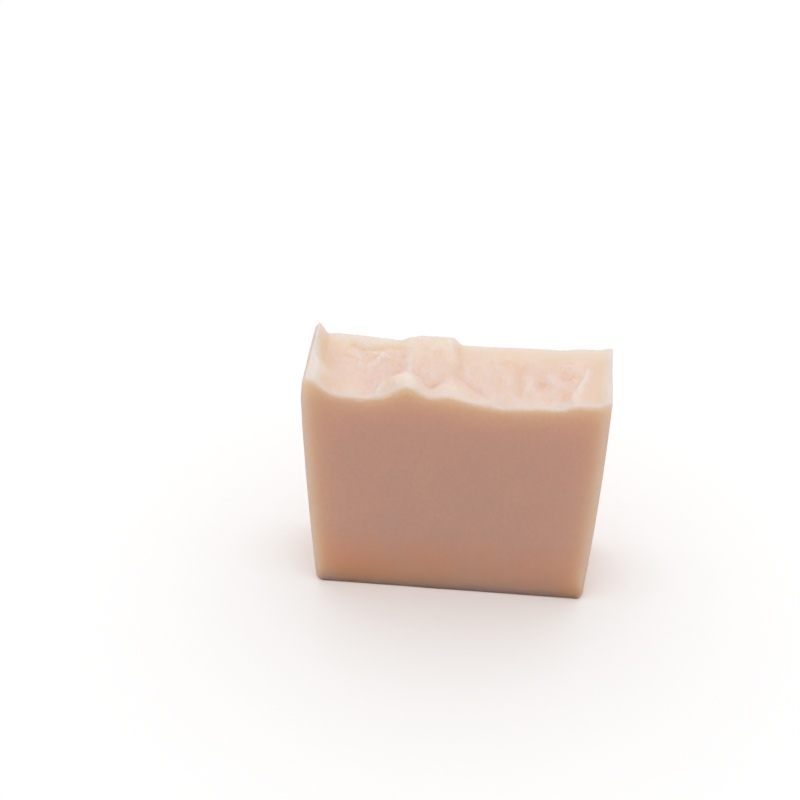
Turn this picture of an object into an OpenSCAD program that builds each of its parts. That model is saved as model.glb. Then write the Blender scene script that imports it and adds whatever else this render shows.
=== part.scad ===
// A bar of handmade soap, cut as one slice from a loaf that set in a box mould.
// The two large faces are the flat cuts, the two flanks and the base took the mould's shape,
// and the top is the poured surface: thick soap that was pressed and folded before it set.
// X runs along the bar's width, Y through the slice, Z up from the base.

/* [Mould] */
// Width between the mould's walls at their top
top_width = 75; // [60:1:90]
// Width of the mould's floor
base_width = 69; // [54:1:84]
// Height of the mould's walls
wall_height = 63.5; // [40:0.5:80]
// How far each wall bows outward at mid height
wall_bow = 0.5; // [0:0.1:1.5]
// Radius of the two corners along the mould's floor
floor_radius = 2; // [1:0.5:8]

/* [Slice] */
// Thickness of the slice
slice_thickness = 24; // [18:1:36]

/* [Left lip] */
// Height of the lip that clung to the left wall, above the poured surface
lip_rise = 4.3; // [1:0.1:6]
// Reach of the lip's foot from the wall at the front cut
lip_front_reach = 11; // [6:0.5:14]
// Reach of the lip's foot from the wall at the back cut
lip_back_reach = 6; // [3:0.5:10]
// How far the lip's top leans in from the wall
lip_tuck = 1.1; // [0:0.1:2]

/* [Poured surface] */
// Depth of the poured surface below the top of the walls
pour_drop = 3.2; // [1:0.1:8]
// Rise of the poured surface from the front cut to the back cut
pour_slope = 0.8; // [0:0.1:2]
// Depth of the two hollows
hollow_depth = 0.6; // [0:0.1:2]
// Height of the bank along the back cut, left of the ridge
bank_rise = 1.2; // [0:0.1:2.5]
// Height of the right shoulder above the poured surface
shoulder_rise = 1.6; // [0:0.1:3]
// Width of the smooth right shoulder
shoulder_width = 7; // [4:0.5:12]
// Height of the thin rim at the right wall, above the shoulder
rim_rise = 1.4; // [0:0.1:2]
// Width of the smooth band along the back cut, right of the step
band_width = 6; // [3:0.5:9]

/* [Ridge and step] */
// Place of the ridge that runs from front to back, from the middle of the bar
ridge_x = -12; // [-20:0.5:-6]
// Height of the ridge's knob at the front cut
knob_rise = 4.2; // [1:0.1:6]
// Half width of the knob
knob_spread = 4.2; // [2:0.1:6]
// Height of the narrow ridge behind the knob
ridge_rise = 1.4; // [0.5:0.1:4]
// Half width of the narrow ridge
ridge_spread = 2; // [1:0.1:3]
// Height of the slab right of the ridge
slab_rise = 2.1; // [0.5:0.1:4]
// Width of the slab, from the ridge to the step
slab_width = 11.2; // [8:0.1:16]
// Length of the slope down from the slab to the surface on its right
step_run = 2.6; // [1:0.1:4]
// Height of the low hump at the front cut, right of the knob
hump_rise = 1.9; // [0:0.1:4]

/* [Folds] */
// Width of one fold in the rough ground
fold_size = 4.4; // [3:0.1:8]
// Height of the rough ground, from furrow to crest
fold_rise = 0.5; // [0:0.1:2.5]
// How many times longer than wide the folds are on the right, where they run from front to back
fold_stretch = 2; // [1:0.1:3]
// How far the folds curl sideways
fold_curl = 2.4; // [0:0.1:4]
// Arrangement of the folds
fold_seed = 11; // [1:1:99]
// Depth of the deepest furrow and height of the highest fold
crease_depth = 0.5; // [0:0.1:1.6]
// Half width of the furrows and folds
crease_spread = 1.2; // [0.8:0.1:2]
// Spacing of the points over the poured surface
grid_step = 0.7; // [0.6:0.1:2]

/* [Hidden] */
soap_colour = "#F0C9AE";

half_top = top_width / 2;
half_base = base_width / 2;
half_slice = slice_thickness / 2;
pour_level = wall_height - pour_drop;

// Smooth change from 0 at a to 1 at b
function ease(a, b, v) = let (t = max(0, min(1, (v - a) / (b - a)))) t * t * (3 - 2 * t);

// Smooth hump of height 1 at 0, which is nearly gone at twice its half width
function hump(v, half_width) = exp(-pow(v / half_width, 2));

// Sum of the numbers in a list
function total(list) = list * [for (v = list) 1];

// Distance from point p to the stretch from a to b
function off_stretch(p, a, b) =
    let (d = b - a)
    let (t = max(0, min(1, (p - a) * d / (d * d))))
    norm(p - a - t * d);

// Distance from point p to the nearest stretch of a path
function off_path(p, path) =
    min([for (i = [1 : len(path) - 1]) off_stretch(p, path[i - 1], path[i])]);

// The mould's section. The wall leans out from the floor and bows, and the floor's corners are round.
wall_steps = 12;
corner_steps = 6;
draft = half_top - half_base;
bow_start = 4 * wall_bow;
wall_lean = atan((draft + bow_start) / wall_height);
corner_run = floor_radius / tan((90 + wall_lean) / 2);
corner_top = corner_run * cos(wall_lean);
headroom = lip_rise + pour_slope + knob_rise;

function wall_at(z) =
    let (t = min(1, z / wall_height))
    half_base + draft * t + bow_start * t * (1 - t);

// The left wall's line leans in over the lip, from a little below the top of the wall
tuck_start = wall_height - 2.5;
tuck_end = pour_level + lip_rise;
function lip_lean(z) = lip_tuck * pow(max(0, (z - tuck_start) / max(1, tuck_end - tuck_start)), 2);

corner = [
    for (i = [0 : corner_steps])
        let (a = -90 + (90 - wall_lean) * i / corner_steps)
        [half_base - corner_run + floor_radius * cos(a), floor_radius * (1 + sin(a))]
];
wall_levels = [for (i = [1 : wall_steps]) corner_top + (wall_height - corner_top) * i / wall_steps];
lip_levels = [for (i = [1 : corner_steps]) wall_height + headroom * i / corner_steps];
right_side = concat(corner, [for (z = wall_levels) [wall_at(z), z]], [[half_top, wall_height + headroom]]);
left_wall = [for (z = concat(wall_levels, lip_levels)) [lip_lean(z) - wall_at(z), z]];
left_side = concat([for (p = corner) [-p[0], p[1]]], left_wall);
mould_section = concat(right_side, [for (i = [len(left_side) - 1 : -1 : 0]) left_side[i]]);

// Where the lip begins to widen and where it has its full width, from back to front
lip_widens = [2, -5];
// Share of the lip's reach over which it has its full height, and how hollow its slope is beyond that
lip_crown = 0.32;
lip_hollow = 2.2;
// How far the edges of the lip and the step wander from side to side
edge_wander = 0.4;

// Height of the lip against the left wall, wide at the front cut and thin at the back one
function lip(x, y) =
    let (widening = ease(lip_widens[0], lip_widens[1], y))
    let (reach = lip_back_reach + (lip_front_reach - lip_back_reach) * widening + edge_wander * sin(45 * y))
    let (down = max(0, min(1, (x + half_top - lip_crown * reach) / (reach - lip_crown * reach))))
    lip_rise * pow(1 - down, lip_hollow);

// Width of the bank along the back cut and of its level top, and where it fades towards the ridge
bank_width = 9;
bank_level = 1;
bank_fade = [2, -16];
function bank(x, y) =
    bank_rise
    * ease(half_slice - bank_width, half_slice - bank_level, y)
    * ease(ridge_x + bank_fade[0], ridge_x + bank_fade[1], x);

// Where the knob begins and where it has its full height, from back to front
knob_starts = [-1.5, -7];
ridge_wander = 0.5;
function ridge(x, y) =
    let (knob = ease(knob_starts[0], knob_starts[1], y))
    let (off = x - ridge_x - ridge_wander * sin(25 * y))
    knob * knob_rise * hump(off, knob_spread)
    + (1 - knob) * ridge_rise * hump(off, ridge_spread);

// Place and half width of the low hump at the front cut
hump_off = 10.5;
hump_spread = 4.5;
function front_hump(x, y) = hump_rise * ease(0, -10, y) * hump(x - ridge_x - hump_off, hump_spread);

// The slab climbs from the ridge's left side and ends in a step. It fades out towards the front.
step_x = ridge_x + slab_width;
slab_climb = [-4.5, 2.5];
slab_fade = [-11, 9];
function step_edge(y) = step_x + edge_wander * sin(30 * y);
function slab(x, y) =
    slab_rise
    * ease(slab_fade[0], slab_fade[1], y)
    * ease(slab_climb[0], slab_climb[1], x - ridge_x)
    * ease(step_run / 2, -step_run / 2, x - step_edge(y));

// The right shoulder and its rim are lower at the back. The slope lies on its left, the rim on its right.
shoulder_back_share = 0.5;
shoulder_slope = [5.5, 0.5];
rim_slope = [3.5, 0.5];
function shoulder(x, y) =
    let (share = shoulder_back_share + (1 - shoulder_back_share) * ease(4, -8, y))
    let (from_wall = half_top - x)
    let (slope = ease(shoulder_width + shoulder_slope[0], shoulder_width + shoulder_slope[1], from_wall))
    share * (shoulder_rise * slope + rim_rise * ease(rim_slope[0], rim_slope[1], from_wall));

// The band along the back cut rises a little towards the right
band_rise = 0.35;
function on_band(x, y) =
    ease(step_x - 1, step_x + 1, x) * ease(band_width + 2, band_width - 1, half_slice - y);
function band(x, y) = band_rise * on_band(x, y) * ease(5, 18, x);

// Hollows and calm patches: place in X, place in Y, half width, half length, share of the full depth
left_bowl = [ridge_x - 11, 1, 6, 7, 1];
right_bowl = [19, -1, 8, 6, 0.9];
red_bowl = [9.8, -3.5, 2.6, 4.5, 0.6];
front_notch = [11.5, -12, 2.6, 5, 1.2];
calm_patches = [
    [ridge_x - 16.5, -4, 3.5, 4.5, 0.8],
    [ridge_x - 4, -5.5, 2.5, 3, 0.7],
    [9.8, -3.5, 2.2, 4, 0.8]
];
function patch(x, y, p) = p[4] * hump(x - p[0], p[2]) * hump(y - p[1], p[3]);
function hollows(x, y) =
    hollow_depth * total([for (p = [left_bowl, right_bowl, red_bowl, front_notch]) patch(x, y, p)]);

// How rough the ground is: 1 inside, 0 on the lip, the shoulder and the band, and little at the two cuts
lip_foot = 0.65 * lip_front_reach;
cut_calm = 0.3;
cut_reach = 5;
function roughness(x, y) =
    let (left = ease(lip_foot - 2, lip_foot + 1, x + half_top))
    let (right = ease(shoulder_width - 1, shoulder_width + 2, half_top - x))
    let (cut = cut_calm + (1 - cut_calm) * ease(0, cut_reach, half_slice - abs(y)))
    let (calm = max([for (p = calm_patches) patch(x, y, p)]))
    left * right * cut * (1 - calm) * (1 - on_band(x, y));

// Furrows, seen from above: share of the crease depth, where X is counted from, and the path
furrows = [
    [0.8, ridge_x, [[-15.5, 8.5], [-12, 7], [-8.5, 8], [-3, 9.5]]],
    [0.5, ridge_x, [[-21.6, 12], [-21.8, 6], [-21, 1]]],
    [0.7, ridge_x, [[-9.5, -3], [-8.8, -7], [-10, -10]]],
    [0.6, ridge_x, [[-2.5, 8], [-2.2, 2], [-2.8, -2]]],
    [1, ridge_x, [[2.5, -6], [4, -7.5], [6, -6.8], [8, -4.6], [9.2, -2.5]]],
    [0.9, 0, [[1.3, -2.6], [3, -4.5], [6, -6.5], [8, -8]]],
    [0.6, 0, [[15.2, 3.5], [15.4, -2], [15.6, -8]]],
    [0.5, 0, [[20, 2], [19.4, -4], [17.5, -7.5]]],
    [0.4, half_top, [[-12.3, 1.2], [-9.2, 1]]],
    [0.6, half_top, [[-10.5, -7.5], [-8.7, -3], [-8.2, 1]]]
];

// Raised folds, in the same order
raised_folds = [
    [0.6, ridge_x, [[-15, 6], [-13.4, 3], [-12.5, 0], [-14, -1]]],
    [0.6, ridge_x, [[-10.5, -0.5], [-7, 5.5]]],
    [0.5, ridge_x, [[-5.9, -6.8], [-7.5, -11]]],
    [0.5, 0, [[2, 1.5], [2.3, -1.5]]],
    [0.4, 0, [[13.5, -1], [13.8, -8]]],
    [0.5, 0, [[17.3, 0], [17.6, -4]]],
    [0.7, 0, [[22, 4], [22.6, 0], [23.6, -3]]],
    [0.5, half_top, [[-11, 3.4], [-10, 3.2]]],
    [0.8, half_top, [[-9, -8], [-7.2, -3], [-6.5, 0], [-5.3, 4]]]
];

// Height of all furrows and folds at a point. Their paths wander a little from side to side.
path_wander = 0.8;
wander_size = 4;
function creases(x, y) =
    let (u = x / wander_size)
    let (v = y / wander_size)
    let (bent = [x + path_wander * ground(u, v), y + path_wander * ground(u + 9, v + 4)])
    let (raised = [for (c = raised_folds) crease(bent, c)])
    let (sunk = [for (c = furrows) crease(bent, c)])
    crease_depth * (total(raised) - total(sunk));
function crease(p, c) = c[0] * hump(off_path(p - [c[1], 0], c[2]), crease_spread);

// Smooth random ground between -1 and 1, with one hump or hollow in each unit
lattice_size = 24;
lattice = [for (i = [0 : lattice_size - 1]) rands(-1, 1, lattice_size, fold_seed + i)];
function wrapped(i) = i - lattice_size * floor(i / lattice_size);
function lattice_at(i, j) = lattice[wrapped(i)][wrapped(j)];
function blend(a, b, t) = a + (b - a) * t * t * (3 - 2 * t);
function ground(u, v) =
    let (i = floor(u))
    let (j = floor(v))
    blend(
        blend(lattice_at(i, j), lattice_at(i + 1, j), u - i),
        blend(lattice_at(i, j + 1), lattice_at(i + 1, j + 1), u - i),
        v - j
    );

// Narrow crests with wide hollows between them, from about -1 to 1
crest_round = 0.12;
crest_range = 0.7;
function crests(u, v) = 1 - 2 * norm([ground(u, v), crest_round]) / crest_range;

// Rough ground: crests of two sizes, which curl on the left and run from front to back on the right
fine_scale = 1.9;
fine_share = 0.4;
function rough_ground(x, y) =
    let (curl_size = 2 * fold_size)
    let (bent_x = x + fold_curl * ground(x / curl_size, y / curl_size + 7))
    let (bent_y = y + fold_curl * ground(x / curl_size + 5, y / curl_size))
    let (stretch = 1 + (fold_stretch - 1) * ease(step_x - 2, step_x + 4, x))
    let (u = bent_x / fold_size)
    let (v = bent_y / fold_size / stretch)
    let (fine = fine_share * crests(fine_scale * u + 3, fine_scale * v + 9))
    fold_rise / 2 * (crests(u, v) + fine) / (1 + fine_share);

// Share of the rise from the front cut to the back cut that lies below the pour level
slope_below = 0.2;

// Height of the poured surface
function pour(x, y) =
    pour_level
    + pour_slope * (ease(-half_slice, half_slice, y) - slope_below)
    + max(lip(x, y), bank(x, y))
    + max(ridge(x, y), slab(x, y))
    + front_hump(x, y)
    + shoulder(x, y)
    + band(x, y)
    - hollows(x, y)
    + roughness(x, y) * rough_ground(x, y)
    + creases(x, y);

// The grid of points over the poured surface reaches half a step past the slice on every side
columns = ceil(top_width / grid_step) + 1;
rows = ceil(slice_thickness / grid_step) + 1;
column_step = top_width / (columns - 1);
row_step = slice_thickness / (rows - 1);
overhang = 1;
function past_edge(i, last) = i == 0 ? -overhang : (i == last ? overhang : 0);
function grid_x(i) = (i - columns / 2) * column_step + past_edge(i, columns);
function grid_y(j) = (j - rows / 2) * row_step + past_edge(j, rows);
function surface_point(i, j) = [grid_x(i), grid_y(j), pour(grid_x(i), grid_y(j))];

// The slice without its poured surface: the mould's section, cut flat on both faces
module slice_blank() {
    rotate([90, 0, 0])
        linear_extrude(height = slice_thickness, center = true)
            polygon(mould_section);
}

// Everything below the poured surface, wider than the slice and deeper than its base
module poured_mass() {
    surface_points = [for (i = [0 : columns]) for (j = [0 : rows]) surface_point(i, j)];
    rim = concat(
        [for (i = [0 : columns - 1]) i * (rows + 1)],
        [for (j = [0 : rows - 1]) columns * (rows + 1) + j],
        [for (i = [columns : -1 : 1]) i * (rows + 1) + rows],
        [for (j = [rows : -1 : 1]) j]
    );
    floor_points = [for (k = rim) [surface_points[k][0], surface_points[k][1], -overhang]];
    first = len(surface_points);
    middle = first + len(rim);
    // Each cell is split along the diagonal whose ends are nearer in height, which keeps furrows straight
    surface_faces = [
        for (i = [0 : columns - 1]) for (j = [0 : rows - 1])
            let (k = i * (rows + 1) + j)
            let (cell = [k, k + 1, k + rows + 2, k + rows + 1])
            let (z = [for (n = cell) surface_points[n][2]])
            let (n = abs(z[0] - z[2]) < abs(z[1] - z[3]) ? 0 : 1)
            each [[cell[n], cell[n + 1], cell[n + 2]], [cell[n], cell[n + 2], cell[(n + 3) % 4]]]
    ];
    wall_faces = [
        for (n = [0 : len(rim) - 1])
            let (m = (n + 1) % len(rim))
            each [[rim[n], rim[m], first + m], [rim[n], first + m, first + n]]
    ];
    floor_faces = [for (n = [0 : len(rim) - 1]) [middle, first + n, first + (n + 1) % len(rim)]];
    polyhedron(
        points = concat(surface_points, floor_points, [[0, 0, -overhang]]),
        faces = concat(surface_faces, wall_faces, floor_faces)
    );
}

module soap_bar() {
    color(soap_colour)
        intersection() {
            slice_blank();
            poured_mass();
        }
}

soap_bar();
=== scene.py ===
"""Looks of a bar of handmade soap, cut as one slice from a moulded loaf.

The bar stands on a pale studio floor. Everything is in metres, in the row frame: X along the bar's width,
Y through the slice from the front cut to the back cut, Z up from the base. The frame's own solid gives the
walls, the base and the relief of the poured top. This script lays the finer folds over that relief, softens
the cut edges and dresses the whole as cold-process soap.
"""

import logging
import math
from dataclasses import dataclass, field
from enum import Enum

import bpy
import numpy as np
from mathutils import Matrix, Vector
from mathutils.bvhtree import BVHTree
from mathutils.geometry import delaunay_2d_cdt


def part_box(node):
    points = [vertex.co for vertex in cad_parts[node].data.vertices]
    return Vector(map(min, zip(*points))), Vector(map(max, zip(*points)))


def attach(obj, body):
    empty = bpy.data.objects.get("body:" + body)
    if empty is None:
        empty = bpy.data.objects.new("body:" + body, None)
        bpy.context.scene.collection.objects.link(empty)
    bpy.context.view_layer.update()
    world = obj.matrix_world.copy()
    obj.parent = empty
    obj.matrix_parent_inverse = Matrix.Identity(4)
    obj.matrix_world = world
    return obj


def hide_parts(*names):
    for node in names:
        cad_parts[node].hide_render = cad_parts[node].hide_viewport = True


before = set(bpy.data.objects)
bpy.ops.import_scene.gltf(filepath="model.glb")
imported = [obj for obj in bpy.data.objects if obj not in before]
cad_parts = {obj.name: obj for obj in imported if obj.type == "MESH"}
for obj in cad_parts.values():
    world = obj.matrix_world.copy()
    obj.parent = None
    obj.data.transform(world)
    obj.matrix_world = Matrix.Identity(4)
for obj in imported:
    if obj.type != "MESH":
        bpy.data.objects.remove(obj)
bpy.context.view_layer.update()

MM = 0.001
NODE = "soap_bar"
BODY = "root"
TINY = 1e-9
log = logging.getLogger("soap")


def smooth_step(start: float, end: float, value: np.ndarray) -> np.ndarray:
    """Changes smoothly from 0 to 1 as a value passes from start to end.

    Args:
        start: The value at which the result is 0. It may lie above end.
        end: The value at which the result is 1.
        value: The values to weigh.

    Returns:
        Weights from 0 to 1, one for each value.
    """
    t = np.clip((value - start) / (end - start), 0.0, 1.0)
    return t * t * (3.0 - 2.0 * t)


def blurred(values: np.ndarray, reach: float, axis: int) -> np.ndarray:
    """Blurs a grid of values along one axis with a bell-shaped weight.

    Args:
        values: The grid.
        reach: Standard deviation of the weight, in grid steps.
        axis: The axis to blur along.

    Returns:
        A grid of the same shape.
    """
    half = max(1, int(math.ceil(3.0 * reach)))
    offsets = np.arange(-half, half + 1)
    weights = np.exp(-0.5 * np.square(offsets / reach))
    weights /= weights.sum()
    count = values.shape[axis]
    total = np.zeros_like(values)
    for offset, weight in zip(offsets, weights):
        index = np.clip(np.arange(count) + offset, 0, count - 1)
        total += weight * np.take(values, index, axis=axis)
    return total


def blurred_both(values: np.ndarray, reach: float) -> np.ndarray:
    """Blurs a grid along both of its axes by the same reach, in grid steps."""
    return blurred(blurred(values, reach, 0), reach, 1)


class Ground:
    """Random ground in two dimensions, the same on every run."""

    CELLS = 256
    # How far from its cell's sides a bowl's middle stays, in cells.
    MARGIN = 0.1
    # Brings the waves to heights from about -1 to 1.
    WAVE_GAIN = 1.5
    # A crest's height, how steeply it falls away, and how round its back is.
    CREST_TOP = 1.25
    CREST_FALL = 3.0
    CREST_ROUND = 0.007
    # How steeply a bowl rises from its floor, and a height above them all.
    BOWL_RISE = 1.6
    BOWL_LIMIT = 9.0

    def __init__(self, seed: int) -> None:
        """Draws the random tables.

        Args:
            seed: Picks the arrangement.
        """
        source = np.random.default_rng(seed)
        self.order = source.permutation(self.CELLS)
        turn = source.uniform(0.0, math.tau, self.CELLS)
        self.slope_u = np.cos(turn)
        self.slope_v = np.sin(turn)
        self.shift_u = source.uniform(self.MARGIN, 1.0 - self.MARGIN, self.CELLS)
        self.shift_v = source.uniform(self.MARGIN, 1.0 - self.MARGIN, self.CELLS)
        self.level = source.uniform(0.0, 1.0, self.CELLS)

    def _entry(self, i: np.ndarray, j: np.ndarray) -> np.ndarray:
        """Returns the table entry of each cell (i, j)."""
        return self.order[(self.order[i % self.CELLS] + j) % self.CELLS]

    def waves(
        self, x: np.ndarray, y: np.ndarray, size: float = 1.0, shift: tuple[float, float] = (0.0, 0.0)
    ) -> np.ndarray:
        """Smooth hills and hollows.

        Args:
            x: First coordinate.
            y: Second coordinate.
            size: How wide one feature is, in the coordinates' own unit.
            shift: Leads to another part of the ground, so that two patterns drawn from it differ.

        Returns:
            Heights from about -1 to 1.
        """
        u = x / size + shift[0]
        v = y / size + shift[1]
        i = np.floor(u).astype(int)
        j = np.floor(v).astype(int)
        across = u - i
        along = v - j
        ease_u, ease_v = (t**3 * (t * (6.0 * t - 15.0) + 10.0) for t in (across, along))
        total = np.zeros_like(across)
        for step_u in (0, 1):
            for step_v in (0, 1):
                entry = self._entry(i + step_u, j + step_v)
                rise = self.slope_u[entry] * (across - step_u) + self.slope_v[entry] * (along - step_v)
                weight_u = ease_u if step_u else 1.0 - ease_u
                weight_v = ease_v if step_v else 1.0 - ease_v
                total += rise * weight_u * weight_v
        return self.WAVE_GAIN * total

    def crests(self, u: np.ndarray, v: np.ndarray) -> np.ndarray:
        """Returns narrow round-backed crests between wide hollows, from about -1 to 1."""
        return self.CREST_TOP - self.CREST_FALL * np.sqrt(np.square(self.waves(u, v)) + self.CREST_ROUND)

    def scoops(self, u: np.ndarray, v: np.ndarray, unevenness: float) -> np.ndarray:
        """Shallow bowls that meet in thin raised rims, as torn soap does.

        Args:
            u: First coordinate, in bowls.
            v: Second coordinate, in bowls.
            unevenness: How far the bowls' floors differ in height.

        Returns:
            Heights, about 0 at the floors and 1 at the rims.
        """
        i = np.floor(u).astype(int)
        j = np.floor(v).astype(int)
        lowest = np.full_like(u, self.BOWL_LIMIT)
        for step_u in (-1, 0, 1):
            for step_v in (-1, 0, 1):
                entry = self._entry(i + step_u, j + step_v)
                gap_u = i + step_u + self.shift_u[entry] - u
                gap_v = j + step_v + self.shift_v[entry] - v
                height = self.BOWL_RISE * (gap_u**2 + gap_v**2) + unevenness * self.level[entry]
                lowest = np.minimum(lowest, height)
        return lowest


@dataclass(frozen=True)
class Places:
    """Places on the poured top and half the bar's own sizes, in millimetres from the bar's middle."""

    x: np.ndarray
    y: np.ndarray
    half_width: float
    half_slice: float

    @property
    def from_left(self) -> np.ndarray:
        """Distance from the left wall."""
        return self.x + self.half_width

    @property
    def from_right(self) -> np.ndarray:
        """Distance from the right wall."""
        return self.half_width - self.x

    @property
    def from_front(self) -> np.ndarray:
        """Distance from the front cut."""
        return self.y + self.half_slice

    @property
    def from_back(self) -> np.ndarray:
        """Distance from the back cut."""
        return self.half_slice - self.y


class FoldKind(Enum):
    """The marks that folded soap keeps once it has set."""

    CREST = "a raised line with a round back"
    FURROW = "a sharp groove between two folds"
    LAP = "a sheet that slid over the ground, steep on one side and gentle on the other"


@dataclass(frozen=True)
class Stroke:
    """A line over the poured top through given places, in millimetres from the bar's middle."""

    # Straight pieces from one place to the next.
    PIECES = 8
    # How many widths away a stroke still tells.
    REACH = 4.0
    # The share of its length over which each end fades.
    FADE = 0.25

    path: tuple[tuple[float, float], ...]
    width: float

    def _curve(self) -> np.ndarray:
        """Draws a smooth curve through the path's places.

        Returns:
            Points along the curve.
        """
        places = np.array(self.path, dtype=float)
        first = 2.0 * places[:1] - places[1:2]
        last = 2.0 * places[-1:] - places[-2:-1]
        ends = np.concatenate([first, places, last])
        t = np.linspace(0.0, 1.0, self.PIECES + 1)[1:, None]
        line = [places[:1]]
        for before, start, end, after in zip(ends, ends[1:], ends[2:], ends[3:]):
            straight = (end - before) * t
            bend = (2.0 * before - 5.0 * start + 4.0 * end - after) * t**2
            turn = (3.0 * start - before - 3.0 * end + after) * t**3
            line.append(start + 0.5 * (straight + bend + turn))
        return np.concatenate(line)

    def near(self, x: np.ndarray, y: np.ndarray) -> tuple[np.ndarray, np.ndarray, np.ndarray, np.ndarray]:
        """Finds how places lie to the curve.

        Args:
            x: X of each place.
            y: Y of each place.

        Returns:
            Which places are near the curve, and for those the distance in widths, the side that they lie on,
            and a weight that fades towards the curve's two ends.
        """
        line = self._curve()
        low = line.min(axis=0) - self.REACH * self.width
        high = line.max(axis=0) + self.REACH * self.width
        close = (x > low[0]) & (x < high[0]) & (y > low[1]) & (y < high[1])
        places = np.stack([x[close], y[close]], axis=-1)
        gap = np.full(len(places), np.inf)
        side = np.zeros_like(gap)
        share = np.zeros_like(gap)
        for n, (start, end) in enumerate(zip(line, line[1:])):
            run = end - start
            t = np.clip((places - start) @ run / (run @ run), 0.0, 1.0)
            off = places - start - t[:, None] * run
            length = np.hypot(off[:, 0], off[:, 1])
            nearer = length < gap
            gap[nearer] = length[nearer]
            side[nearer] = np.sign(run[0] * off[:, 1] - run[1] * off[:, 0])[nearer]
            share[nearer] = (n + t[nearer]) / (len(line) - 1)
        fade = smooth_step(0.0, self.FADE, share) * smooth_step(1.0, 1.0 - self.FADE, share)
        return close, gap / self.width, side, fade


@dataclass(frozen=True)
class Fold(Stroke):
    """One fold of the poured top."""

    # How round a furrow's floor is, and how fast a lap falls on its steep and on its gentle side.
    FURROW_ROUND = 0.16
    LAP_STEEP = 2.5
    LAP_GENTLE = 0.6

    height: float
    kind: FoldKind

    def rise(self, x: np.ndarray, y: np.ndarray) -> np.ndarray:
        """Works out the height that the fold adds.

        Args:
            x: X of each place, in millimetres.
            y: Y of each place, in millimetres.

        Returns:
            Heights in millimetres, negative in a furrow.
        """
        close, off, side, fade = self.near(x, y)
        if self.kind is FoldKind.CREST:
            form = np.exp(-(off**2))
        elif self.kind is FoldKind.FURROW:
            form = -np.exp(math.sqrt(self.FURROW_ROUND) - np.sqrt(off**2 + self.FURROW_ROUND))
        else:
            steep = np.exp(-((self.LAP_STEEP * off) ** 2))
            form = np.where(side > 0.0, steep, np.exp(-self.LAP_GENTLE * off))
        heights = np.zeros_like(x)
        heights[close] = self.height * fade * form
        return heights


@dataclass(frozen=True)
class AshStroke(Stroke):
    """One streak of soda ash, the white film that dries on poured soap."""

    strength: float

    def weight(self, x: np.ndarray, y: np.ndarray) -> np.ndarray:
        """Weighs the film at each place.

        Args:
            x: X of each place, in millimetres.
            y: Y of each place, in millimetres.

        Returns:
            Weights from 0 to the streak's strength.
        """
        close, off, _, fade = self.near(x, y)
        weights = np.zeros_like(x)
        weights[close] = self.strength * fade * np.exp(-(off**2))
        return weights


CREST, FURROW, LAP = FoldKind.CREST, FoldKind.FURROW, FoldKind.LAP

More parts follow.
